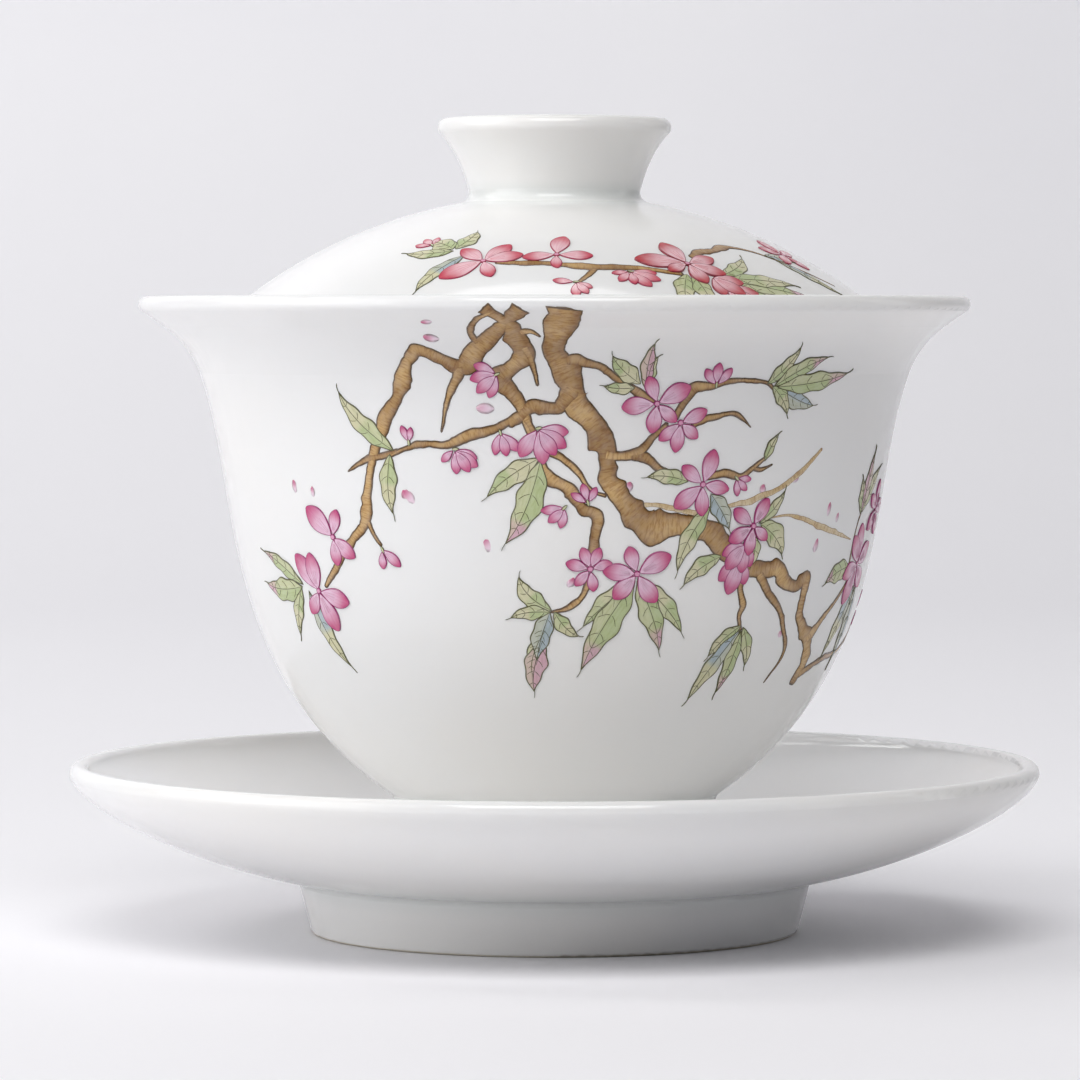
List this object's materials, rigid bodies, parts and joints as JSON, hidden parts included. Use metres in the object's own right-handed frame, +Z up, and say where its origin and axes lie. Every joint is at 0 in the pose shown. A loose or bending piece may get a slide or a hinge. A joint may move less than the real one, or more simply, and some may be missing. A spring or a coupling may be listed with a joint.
{
  "type": "gaiwan",
  "caption": "Lidded porcelain tea bowl with a flared lip, domed lid with a hollow knob, footed saucer and painted blossom branches.",
  "frame": {"origin": "on the table, under the middle of the saucer's foot ring", "axes": "+Z up along the turning axis of all three pieces, -Y towards the viewer of the painted front"},
  "size_m": [0.1168, 0.1168, 0.0981],
  "materials": {
    "saucer_glaze": "clear gloss glaze over white porcelain",
    "bowl_glaze": "clear gloss glaze over white porcelain",
    "lid_glaze": "clear gloss glaze over white porcelain",
    "painted_enamel": "overglaze enamel painting fused to the glaze"
  },
  "bodies": {
    "saucer": {"saucer": "saucer_glaze"},
    "bowl": {"bowl": "bowl_glaze"},
    "lid": {"lid": "lid_glaze"}
  },
  "joints": [
    {"name": "bowl_lift", "type": "slide", "parent": "saucer", "child": "bowl", "axis": [0, 0, 1], "range_m": [0, 0.04]},
    {"name": "lid_lift", "type": "slide", "parent": "bowl", "child": "lid", "axis": [0, 0, 1], "range_m": [0, 0.05]}
  ]
}
